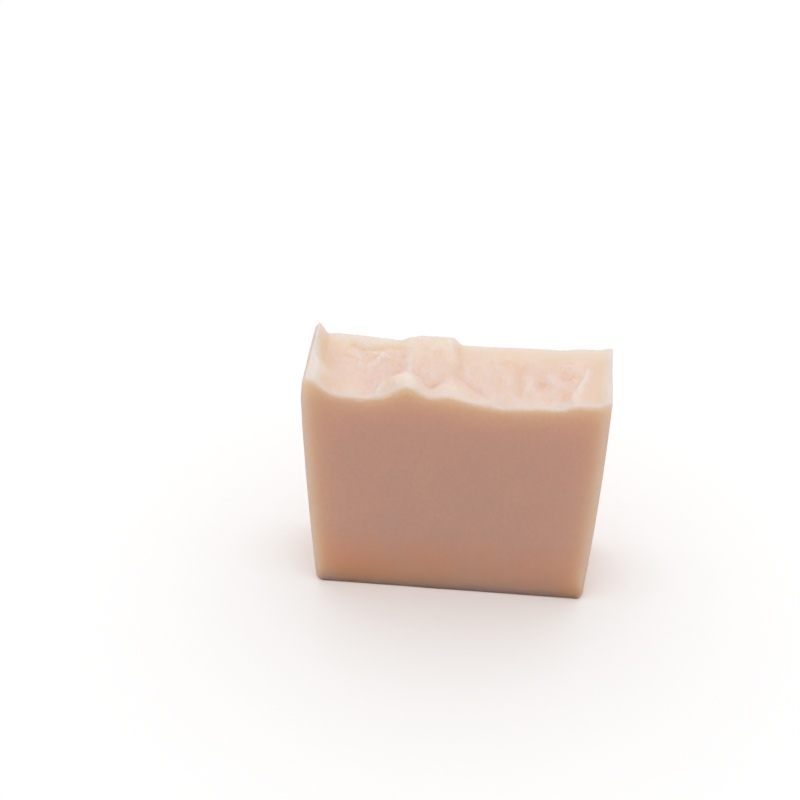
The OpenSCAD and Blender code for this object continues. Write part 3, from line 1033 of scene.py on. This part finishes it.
    def build(self) -> bpy.types.Object:
        """Builds the whole bar as one closed mesh.

        Returns:
            The bar's object, with the attributes that its finish reads.
        """
        rows = self._rows()
        top, crest, rough, ash = self._top(rows)
        walls = self._walls(top)
        rings = np.concatenate([top[:, ::-1], walls], axis=1)
        grids = []
        for values in (np.ones_like(crest), crest, rough, ash):
            grid = np.zeros(rings.shape[:2])
            grid[:, : values.shape[1]] = values[:, ::-1]
            grids.append(grid)
        # The film's whitening runs down the walls as painted light on their shaded upper part.
        self._carry_film_down_as_painted_light(grids[-1], rings, top.shape[1])
        # Weights for the cut edges' painted highlight.
        edge = self._edge_nearness(rings)
        front = self._edge_rings(rings[0], CutSide.FRONT)[::-1]
        back = self._edge_rings(rings[-1], CutSide.BACK)
        fade = np.linspace(1.0, 0.0, self.edge_rings)[:, None]
        even = np.ones_like(fade)
        layers = []
        for values, change in zip([*grids, edge], [fade] * len(grids) + [even]):
            layers.append(np.concatenate([values[:1] * change[::-1], values, values[-1:] * change], axis=0))
        points = np.concatenate([front, rings, back], axis=0)
        return self._mesh(points, layers)

    def _carry_film_down_as_painted_light(self, ash: np.ndarray, rings: np.ndarray, top_size: int) -> None:
        """Carries the film over the top's two ends and down the walls, where it fades out: painted light on
        the upper walls, which lie in shade.

        Args:
            ash: The film's weights by ring and point, which change.
            rings: Points by ring.
            top_size: How many points of a ring lie on the poured top.
        """
        middle = top_size + (ash.shape[1] - top_size) // 2
        for end, start, stop in ((top_size - 1, top_size, middle), (0, middle, ash.shape[1])):
            drop = rings[:, end, None, 2] - rings[:, start:stop, 2]
            ash[:, start:stop] = ash[:, end, None] * np.exp(-drop / self.painted_light_drop)

    def _edge_nearness(self, rings: np.ndarray) -> np.ndarray:
        """Weighs how close each point of a ring is to a cut edge, for the painted edge highlight, none along
        the base.
        """
        gap = self.half_slice - np.abs(rings[..., 1])
        return np.exp(-gap / self.edge_reach) * self._above_base(rings[..., 2])

    def _above_base(self, height: np.ndarray) -> np.ndarray:
        """Weighs height over the base, where the painted edge highlight gives way to the shade at the base.
        """
        return smooth_step(self.whitening_start, self.whitening_full, height)

    def _mesh(self, rings: np.ndarray, layers: list[np.ndarray]) -> bpy.types.Object:
        """Joins the rings and the two cut faces into one mesh.

        Args:
            rings: Points by ring, from the front cut face to the back one.
            layers: Weights by ring and point: poured, crest, torn, ash and edge.

        Returns:
            The object, linked to the scene.
        """
        ring_count, size = rings.shape[:2]
        vertices = [tuple(p) for p in rings.reshape(-1, 3)]
        weights = [list(layer.reshape(-1)) for layer in layers]
        index = np.arange(ring_count * size).reshape(ring_count, size)
        following = np.roll(index, -1, axis=1)
        quads = np.stack([index[:-1], following[:-1], following[1:], index[1:]], axis=-1).reshape(-1, 4)
        faces = [tuple(int(v) for v in quad) for quad in quads]
        for side, ring_index in ((CutSide.FRONT, 0), (CutSide.BACK, ring_count - 1)):
            self._add_cut_face(side, index[ring_index], vertices, weights, faces)
        mesh = bpy.data.meshes.new("bar_of_soap")
        mesh.from_pydata(vertices, [], faces)
        for name, values in zip(("poured", "crest", "torn", "ash", "edge"), weights):
            attribute = mesh.attributes.new(name, "FLOAT", "POINT")
            attribute.data.foreach_set("value", np.array(values, dtype=np.float32))
        mesh.validate()
        mesh.update()
        if self._signed_volume(mesh) < 0.0:
            mesh.flip_normals()
        mesh.shade_smooth()
        bar = bpy.data.objects.new("bar_of_soap", mesh)
        bpy.context.scene.collection.objects.link(bar)
        log.info("bar of soap: %d points, %d faces", len(mesh.vertices), len(mesh.polygons))
        return bar

    def _add_cut_face(
        self,
        side: CutSide,
        ring: np.ndarray,
        vertices: list[tuple[float, float, float]],
        weights: list[list[float]],
        faces: list[tuple[int, ...]],
    ) -> None:
        """Fills one cut face with an even net of triangles, with the knife's faint drag in it.

        Args:
            side: Which cut face it is.
            ring: Indices of the ring that bounds it.
            vertices: The mesh's points so far, which grow.
            weights: The mesh's weights so far, which grow.
            faces: The mesh's faces so far, which grow.
        """
        outline = np.array([vertices[i] for i in ring])[:, (0, 2)]
        net = self._net(outline.min(axis=0), outline.max(axis=0))
        gaps = self._gap_to_outline(net, outline)
        inside = self._is_inside(net, outline) & (gaps > self.face_gap * self.face_step)
        net, gaps = net[inside], gaps[inside]
        count = len(outline)
        loose = [Vector(p) for p in np.concatenate([outline, net])]
        edges = [(i, (i + 1) % count) for i in range(count)]
        _, _, triangles, origins, _, _ = delaunay_2d_cdt(loose, edges, [], 1, TINY)
        first = len(vertices)
        known = {i: int(ring[i]) for i in range(count)}
        known.update({count + n: first + n for n in range(len(net))})
        face_y = side.value * self.half_slice
        drag = self._drag(net, side) * smooth_step(0.0, self.drag_margin, gaps)
        for (x, z), depth in zip(net, drag):
            vertices.append((float(x), float(face_y - side.value * depth), float(z)))
        # The painted highlight of the cut faces near the walls, held off near the base.
        wall = np.where(net[:, 0] > 0.0, self.solid.wall(net[:, 1], 1), -self.solid.wall(net[:, 1], -1))
        edge = np.exp(-(wall - np.abs(net[:, 0])) / self.side_reach) * self._above_base(net[:, 1])
        for layer, values in zip(weights, (0.0, 0.0, 0.0, 0.0, edge)):
            layer.extend(np.broadcast_to(values, gaps.shape).tolist())
        for triangle in triangles:
            corners = [known[origins[v][0]] for v in triangle]
            if side is CutSide.FRONT:
                corners.reverse()
            faces.append(tuple(corners))

    def _net(self, low: np.ndarray, high: np.ndarray) -> np.ndarray:
        """Lays the corners of even triangles, every other row of them half a step on.

        Args:
            low: Lowest X and Z.
            high: Highest X and Z.

        Returns:
            X and Z of each corner.
        """
        half = self.face_step / 2.0
        xs = np.arange(low[0] + half, high[0], self.face_step)
        zs = np.arange(low[1] + half, high[1], self.face_step * self.face_row)
        grid_x, grid_z = np.meshgrid(xs, zs)
        grid_x = grid_x + np.where(np.arange(len(zs)) % 2 == 0, 0.0, half)[:, None]
        return np.stack([grid_x.ravel(), grid_z.ravel()], axis=-1)

    def _drag(self, net: np.ndarray, side: CutSide) -> np.ndarray:
        """Works out how deep the knife's drag lies at each place of a cut face.

        Args:
            net: X and Z of each place.
            side: Which cut face it is.

        Returns:
            Depths below the flat face, none of them negative, in metres.
        """
        across, up = net[:, 0] / MM, net[:, 1] / MM
        shift = self.drag_part * side.value
        streaks = self.seeds.waves(
            across / self.drag_length + shift, up / self.drag_height + self.drag_slope * across
        )
        broad = self.seeds.waves(across, up, self.drag_broad, (shift, 0.0))
        return self.drag_depth * (1.0 + 0.5 * streaks + 0.5 * broad)

    @staticmethod
    def _gap_to_outline(net: np.ndarray, outline: np.ndarray) -> np.ndarray:
        """Measures how far places lie from an outline.

        Args:
            net: X and Z of each place.
            outline: X and Z of the outline's points.

        Returns:
            The distance from each place to the nearest point.
        """
        gaps = np.full(len(net), np.inf)
        for point in outline:
            gaps = np.minimum(gaps, np.hypot(net[:, 0] - point[0], net[:, 1] - point[1]))
        return gaps

    @staticmethod
    def _is_inside(net: np.ndarray, outline: np.ndarray) -> np.ndarray:
        """Tells which places lie inside an outline, by counting its crossings to one side.

        Args:
            net: X and Z of each place.
            outline: X and Z of the outline's points.

        Returns:
            True for each place inside.
        """
        inside = np.zeros(len(net), dtype=bool)
        ahead = np.roll(outline, -1, axis=0)
        for (x1, z1), (x2, z2) in zip(outline, ahead):
            if z1 == z2:
                continue
            spans = (z1 > net[:, 1]) != (z2 > net[:, 1])
            crossing = (x2 - x1) * (net[:, 1] - z1) / (z2 - z1) + x1
            inside ^= spans & (net[:, 0] < crossing)
        return inside

    @staticmethod
    def _signed_volume(mesh: bpy.types.Mesh) -> float:
        """Works out a mesh's volume.

        Args:
            mesh: The closed mesh.

        Returns:
            The volume in cubic metres, negative where the faces point inward.
        """
        mesh.calc_loop_triangles()
        corners = np.zeros(len(mesh.loop_triangles) * 3, dtype=np.int32)
        mesh.loop_triangles.foreach_get("vertices", corners)
        places = np.zeros(len(mesh.vertices) * 3, dtype=np.float32)
        mesh.vertices.foreach_get("co", places)
        a, b, c = np.moveaxis(places.reshape(-1, 3)[corners.reshape(-1, 3)].astype(float), 1, 0)
        return float(np.einsum("ij,ij->i", a, np.cross(b, c)).sum() / 6.0)


def linear(hex_colour: str) -> tuple[float, float, float, float]:
    """Turns an sRGB hex colour to the linear values that a shader takes.

    Args:
        hex_colour: Such as "#F0C9AE".

    Returns:
        Red, green, blue and an alpha of 1.
    """
    levels = [int(hex_colour[i : i + 2], 16) / 255.0 for i in (1, 3, 5)]
    curve = [v / 12.92 if v <= 0.04045 else ((v + 0.055) / 1.055) ** 2.4 for v in levels]
    return (curve[0], curve[1], curve[2], 1.0)


def add_node(
    tree: bpy.types.NodeTree,
    kind: str,
    settings: dict[str, object] | None = None,
    inputs: dict[str | int, object] | None = None,
) -> bpy.types.Node:
    """Adds one node to a tree.

    Args:
        tree: The tree to add to.
        kind: The node's type name in Blender.
        settings: Properties to set on the node.
        inputs: For each input, by name or place, a value to set or a socket to link from.

    Returns:
        The new node.
    """
    node = tree.nodes.new(kind)
    for name, value in (settings or {}).items():
        setattr(node, name, value)
    for name, value in (inputs or {}).items():
        if isinstance(value, bpy.types.NodeSocket):
            tree.links.new(value, node.inputs[name])
        else:
            node.inputs[name].default_value = value
    return node


@dataclass(frozen=True)
class Pattern:
    """A noise in the soap."""

    name: str
    # Width of a feature in millimetres, and how much fine detail it has.
    size: float
    detail: float
    # A share under 1 draws the features out that way.
    share: tuple[float, float, float] = (1.0, 1.0, 1.0)


@dataclass(frozen=True)
class Span:
    """Turns a source to a weight: low where the source is at start, high where it is at end, and between."""

    source: str
    # With no start, the source is the weight.
    start: float | None = None
    end: float = 1.0
    low: float = 0.0
    high: float = 1.0


@dataclass(frozen=True)
class Tone:
    """A colour laid over the soap, as strong as the product of its spans."""

    colour: str
    spans: tuple[Span, ...]


@dataclass(frozen=True)
class Grain:
    """A waxy grain in the surface: how strongly it tilts the light, its height, and what it follows."""

    strength: float
    height: float
    spans: tuple[Span, ...]


class SoapNodes:
    """A material's node tree, and the sources that its weights come from, by name."""

    WEIGHTS = ("poured", "crest", "torn", "ash", "edge")
    NOISE_ROUGHNESS = 0.55

    def __init__(self, tree: bpy.types.NodeTree, patterns: tuple[Pattern, ...]) -> None:
        """Adds the nodes of all sources: the mesh's own weights, the height and the patterns.

        Args:
            tree: The material's tree, which is empty.
            patterns: The noises.
        """
        self.tree = tree
        self.sources: dict[str, bpy.types.NodeSocket] = {}
        for name in self.WEIGHTS:
            node = add_node(tree, "ShaderNodeAttribute", {"attribute_name": name})
            self.sources[name] = node.outputs["Fac"]
        place = add_node(tree, "ShaderNodeTexCoord").outputs["Object"]
        self.sources["height"] = add_node(tree, "ShaderNodeSeparateXYZ", None, {0: place}).outputs["Z"]
        for pattern in patterns:
            drawn = add_node(
                tree, "ShaderNodeVectorMath", {"operation": "MULTIPLY"}, {0: place, 1: pattern.share}
            )
            inputs = {
                "Vector": drawn.outputs["Vector"],
                "Scale": 1.0 / (pattern.size * MM),
                "Detail": pattern.detail,
                "Roughness": self.NOISE_ROUGHNESS,
            }
            self.sources[pattern.name] = add_node(tree, "ShaderNodeTexNoise", None, inputs).outputs["Fac"]

    def weight(self, spans: tuple[Span, ...]) -> bpy.types.NodeSocket:
        """Multiplies spans to one weight.

        Args:
            spans: The spans.

        Returns:
            The product's socket.
        """
        total = None
        for span in spans:
            value = self.sources[span.source]
            if span.start is not None:
                inputs = {"Value": value, "From Min": span.start, "From Max": span.end}
                inputs.update({"To Min": span.low, "To Max": span.high})
                smooth = {"interpolation_type": "SMOOTHSTEP"}
                value = add_node(self.tree, "ShaderNodeMapRange", smooth, inputs).outputs["Result"]
            if total is not None:
                factors = {0: total, 1: value}
                value = add_node(self.tree, "ShaderNodeMath", {"operation": "MULTIPLY"}, factors).outputs[0]
            total = value
        return total

    def paint(
        self, under: bpy.types.NodeSocket | tuple[float, ...], tones: tuple[Tone, ...]
    ) -> bpy.types.NodeSocket:
        """Lays tones over a colour, one after the other.

        Args:
            under: The colour underneath, or its socket.
            tones: The tones, the lowest first.

        Returns:
            The painted colour's socket.
        """
        for tone in tones:
            inputs = {0: self.weight(tone.spans), 6: under, 7: linear(tone.colour)}
            under = add_node(self.tree, "ShaderNodeMix", {"data_type": "RGBA"}, inputs).outputs[2]
        return under

    def normal(self, grains: tuple[Grain, ...]) -> bpy.types.NodeSocket:
        """Lays grains over each other.

        Args:
            grains: The grains, the lowest first.

        Returns:
            The socket of the way that the surface faces.
        """
        facing = None
        for grain in grains:
            inputs = {"Strength": grain.strength, "Distance": grain.height}
            inputs["Height"] = self.weight(grain.spans)
            if facing is not None:
                inputs["Normal"] = facing
            facing = add_node(self.tree, "ShaderNodeBump", None, inputs).outputs["Normal"]
        return facing


@dataclass(frozen=True)
class ColdProcessSoap:
    """Cold-process soap, poured, set and cut by knife: waxy, and slightly clear a few millimetres deep."""

    # The cut faces are darker than the poured top: partly the soap's own colour under the whiter top, partly
    # painted shade for the front cut.
    cut_colour: str = "#DDBEAF"
    cut_cloud_colour: str = "#DABDAF"
    cut_grain_colour: str = "#C9AC9D"
    # The lower part of the bar is warmer up to this height: painted warm bounce light from below.
    painted_bounce_colour: str = "#E6AE86"
    painted_bounce_height: float = 22.0 * MM
    # The poured top where it tore and where it stayed smooth, the painted highlight on its crests, and the
    # painted golden shade in its furrows.
    poured_colour: str = "#E7CDBE"
    smooth_colour: str = "#E4CABB"
    crest_highlight_colour: str = "#E7D6CB"
    furrow_shade_colour: str = "#E5C3A9"
    # Soda ash, which also carries painted light down the shaded upper walls and painted glow along the front
    # crease, and the whitish cut edges.
    ash_and_glow_colour: str = "#E2D2C9"
    # The whitish edges are a painted highlight and glow, partly the soap's own paler dried edge.
    edge_highlight_colour: str = "#E3D0C4"
    # Light wanders a few millimetres through soap, red the furthest, so that thin lips and edges glow. The
    # renderer's spread is about twelve times the way that light goes between two turns.
    spread: float = 20.0 * MM
    spread_by_colour: tuple[float, float, float] = (1.0, 0.9, 0.5)
    ior: float = 1.45
    cut_roughness: float = 0.46
    # Torn soap has small glossier patches: the roughness between them and in them.
    torn_roughness: tuple[float, float] = (0.5, 0.38)
    # Soap's own crystals are far finer than a tenth of a millimetre, so the grain is drawn at 0.35 mm to
    # show, and twice as coarse where the soap tore. The flecks are painted shade and highlight of its
    # smallest folds.
    patterns: tuple[Pattern, ...] = (
        Pattern("clouds", 9.0, 3.0),
        Pattern("cut grain", 1.1, 2.0),
        Pattern("painted bounce unevenness", 17.0, 1.0),
        Pattern("blotches", 4.5, 3.0),
        Pattern("painted fold flecks", 1.1, 2.0, (1.0, 0.5, 1.0)),
        Pattern("fleck patches", 8.0, 1.0),
        Pattern("gloss", 1.6, 2.0),
        Pattern("fine grain", 0.35, 2.0),
        Pattern("torn grain", 0.7, 3.0),
    )
    grains: tuple[Grain, ...] = (
        Grain(0.15, 0.05 * MM, (Span("fine grain"),)),
        Grain(0.4, 0.08 * MM, (Span("torn grain"), Span("torn"))),
    )

    def _cut_tones(self) -> tuple[Tone, ...]:
        """Gives the cut faces and the walls faint clouds, a fine grain and a warmer lower part, which is
        painted bounce light.

        Returns:
            The tones, the lowest first.
        """
        # The painted bounce light on the lower part is uneven.
        uneven = Span("painted bounce unevenness", 0.65, 0.35, 0.55, 1.0)
        return (
            Tone(self.cut_cloud_colour, (Span("clouds", 0.3, 0.7),)),
            Tone(self.cut_grain_colour, (Span("cut grain", 0.35, 0.7, 0.0, 0.2),)),
            Tone(self.painted_bounce_colour, (Span("height", self.painted_bounce_height, 0.0, 0.0, 0.95), uneven)),
        )

    def _poured_tones(self) -> tuple[Tone, ...]:
        """Gives the poured top painted golden shade in its furrows and painted highlight on its crests, then
        lays ash and the edges' painted highlight over all.

        Returns:
            The tones, the lowest first.
        """
        patchy = (Span("fleck patches", 0.42, 0.6, 0.1, 0.6), Span("torn"))
        return (
            # Painted shade in the furrows and painted highlight on the crests, by height over the broad
            # relief.
            Tone(self.furrow_shade_colour, (Span("crest", -0.08, -0.8, 0.0, 0.45),)),
            Tone(self.crest_highlight_colour, (Span("crest", 0.08, 0.6, 0.0, 0.4),)),
            # Random blotches of the furrows' painted golden shade over the torn ground.
            Tone(self.furrow_shade_colour, (Span("blotches", 0.5, 0.7, 0.0, 0.45), Span("torn"))),
            # Flecks of painted shade and painted highlight for the smallest folds.
            Tone(self.furrow_shade_colour, (Span("painted fold flecks", 0.48, 0.3), *patchy)),
            Tone(self.crest_highlight_colour, (Span("painted fold flecks", 0.52, 0.68), *patchy)),
            # Soda ash, which also carries the crease's painted glow and the painted light down the walls.
            Tone(self.ash_and_glow_colour, (Span("ash"),)),
            # Painted highlight and glow along the cut edges, partly the soap's own paler dried edge.
            Tone(self.edge_highlight_colour, (Span("edge", 0.08, 0.9, 0.0, 0.8),)),
        )

    def material(self) -> bpy.types.Material:
        """Builds the material.

        Returns:
            A node-based material that reads the bar's own weights.
        """
        made = bpy.data.materials.new("cold process soap, poured and knife cut")
        made.use_nodes = True
        tree = made.node_tree
        tree.nodes.clear()
        soap = SoapNodes(tree, self.patterns)
        body = soap.paint(linear(self.cut_colour), self._cut_tones())
        ground = soap.paint(linear(self.smooth_colour), (Tone(self.poured_colour, (Span("torn"),)),))
        layers = {0: soap.sources["poured"], 6: body, 7: ground}
        top = add_node(tree, "ShaderNodeMix", {"data_type": "RGBA"}, layers).outputs[2]
        glossy = soap.weight((Span("gloss", 0.3, 0.75, *self.torn_roughness),))
        roughness = {0: soap.sources["torn"], 2: self.cut_roughness, 3: glossy}
        inputs = {
            "Base Color": soap.paint(top, self._poured_tones()),
            "Roughness": add_node(tree, "ShaderNodeMix", {"data_type": "FLOAT"}, roughness).outputs[0],
            "Normal": soap.normal(self.grains),
            "IOR": self.ior,
            "Subsurface Weight": 1.0,
            "Subsurface Radius": [self.spread * share for share in self.spread_by_colour],
            "Subsurface Scale": 1.0,
        }
        walk = {"subsurface_method": "RANDOM_WALK"}
        shader = add_node(tree, "ShaderNodeBsdfPrincipled", walk, inputs)
        add_node(tree, "ShaderNodeOutputMaterial", None, {"Surface": shader.outputs["BSDF"]})
        return made


@dataclass(frozen=True)
class StudioPaper:
    """Matt white background paper, rolled smooth: no gloss, only the bar's own soft shadow."""

    seen_colour: str = "#FFFFFF"
    # What the paper throws back on the bar is dimmer and warmer, so that the front cut keeps its shade.
    bounce_colour: str = "#D6B4A4"

    def material(self) -> bpy.types.Material:
        """Builds the paper's material.

        Returns:
            A matt material.
        """
        made = bpy.data.materials.new("matt white studio paper")
        made.use_nodes = True
        tree = made.node_tree
        tree.nodes.clear()
        seen = add_node(tree, "ShaderNodeLightPath").outputs["Is Camera Ray"]
        inputs = {0: seen, 6: linear(self.bounce_colour), 7: linear(self.seen_colour)}
        colour = add_node(tree, "ShaderNodeMix", {"data_type": "RGBA"}, inputs).outputs[2]
        shader = add_node(tree, "ShaderNodeBsdfDiffuse", None, {"Color": colour})
        add_node(tree, "ShaderNodeOutputMaterial", None, {"Surface": shader.outputs["BSDF"]})
        return made


@dataclass
class Studio:
    """The floor, the light and the camera, at the photograph's viewing angle."""

    floor_size: float = 6.0
    # The soft key hangs almost straight above, a little towards the back, so that the front cut lies in
    # its own shade.
    key_tilt: float = 11.0
    key_spread: float = 120.0
    key_strength: float = 1.2
    # A tent of white cloth lights the bar from all sides, most from above and a little more from behind.
    cloth_colour: str = "#FFFFFF"
    tent_level: float = 0.42
    tent_lean: float = 0.34
    tent_tilt: float = 9.0
    # The camera: its place, the way it looks over the ground, and how far it looks down and leans.
    camera_place: tuple[float, float, float] = (18.3 * MM, -350.2 * MM, 307.7 * MM)
    camera_heading: float = 5.32
    camera_pitch: float = 36.1
    camera_roll: float = 0.67
    lens: float = 78.75
    sensor: float = 36.0
    nearest: float = 10.0 * MM

    def build(self) -> None:
        """Builds the floor, the light and the camera."""
        self._floor()
        self._key()
        self._world()
        self._camera()
        bpy.context.scene.view_settings.view_transform = "Standard"
        log.info("studio: floor, key light, world and camera")

    def _floor(self) -> None:
        """Lays the paper floor at the height that the bar stands on."""
        half = self.floor_size / 2.0
        mesh = bpy.data.meshes.new("studio_floor")
        corners = [(-half, -half, 0.0), (half, -half, 0.0), (half, half, 0.0), (-half, half, 0.0)]
        mesh.from_pydata(corners, [], [(0, 1, 2, 3)])
        mesh.materials.append(StudioPaper().material())
        floor = bpy.data.objects.new("studio_floor", mesh)
        bpy.context.scene.collection.objects.link(floor)

    def _key(self) -> None:
        """Hangs the soft key light."""
        data = bpy.data.lights.new("key", "SUN")
        data.energy = self.key_strength
        data.angle = math.radians(self.key_spread)
        key = bpy.data.objects.new("key", data)
        key.matrix_world = Matrix.Rotation(math.radians(-self.key_tilt), 4, "X")
        bpy.context.scene.collection.objects.link(key)

    def _world(self) -> None:
        """Lights the bar with the tent, and shows white where nothing stands."""
        world = bpy.data.worlds.new("studio")
        world.use_nodes = True
        tree = world.node_tree
        tree.nodes.clear()
        tilt = math.radians(self.tent_tilt)
        way = add_node(tree, "ShaderNodeTexCoord").outputs["Generated"]
        brightest = (0.0, math.sin(tilt), math.cos(tilt))
        near = add_node(tree, "ShaderNodeVectorMath", {"operation": "DOT_PRODUCT"}, {0: way, 1: brightest})
        sums = {0: near.outputs["Value"], 1: self.tent_lean, 2: self.tent_level}
        level = add_node(tree, "ShaderNodeMath", {"operation": "MULTIPLY_ADD", "use_clamp": False}, sums)
        lit = add_node(tree, "ShaderNodeMath", {"operation": "MAXIMUM"}, {0: level.outputs[0], 1: 0.0})
        path = add_node(tree, "ShaderNodeLightPath")
        seen = path.outputs["Is Camera Ray"]
        for name in ("Is Glossy Ray", "Is Transmission Ray"):
            rays = {0: seen, 1: path.outputs[name]}
            seen = add_node(tree, "ShaderNodeMath", {"operation": "MAXIMUM"}, rays).outputs[0]
        cloth = {"Color": linear(self.cloth_colour), "Strength": lit.outputs[0]}
        tent = add_node(tree, "ShaderNodeBackground", None, cloth)
        behind = {"Color": linear(self.cloth_colour), "Strength": 1.0}
        white = add_node(tree, "ShaderNodeBackground", None, behind)
        layers = {0: seen, 1: tent.outputs[0], 2: white.outputs[0]}
        mixed = add_node(tree, "ShaderNodeMixShader", None, layers)
        add_node(tree, "ShaderNodeOutputWorld", None, {"Surface": mixed.outputs[0]})
        bpy.context.scene.world = world

    def _camera(self) -> None:
        """Places the camera."""
        data = bpy.data.cameras.new("camera")
        data.sensor_width = self.sensor
        data.lens = self.lens
        data.clip_start = self.nearest
        camera = bpy.data.objects.new("camera", data)
        heading = Matrix.Rotation(math.radians(self.camera_heading), 4, "Z")
        pitch = Matrix.Rotation(math.radians(90.0 - self.camera_pitch), 4, "X")
        roll = Matrix.Rotation(math.radians(self.camera_roll), 4, "Z")
        camera.matrix_world = Matrix.Translation(self.camera_place) @ heading @ pitch @ roll
        bpy.context.scene.collection.objects.link(camera)
        bpy.context.scene.camera = camera


def main() -> None:
    """Builds the bar, dresses it and sets the studio."""
    logging.basicConfig(level=logging.INFO, format="%(message)s")
    bar = SoapBar(FrameSolid()).build()
    bar.data.materials.append(ColdProcessSoap().material())
    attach(bar, BODY)
    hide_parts(NODE)
    Studio().build()


if __name__ == "__main__":
    main()
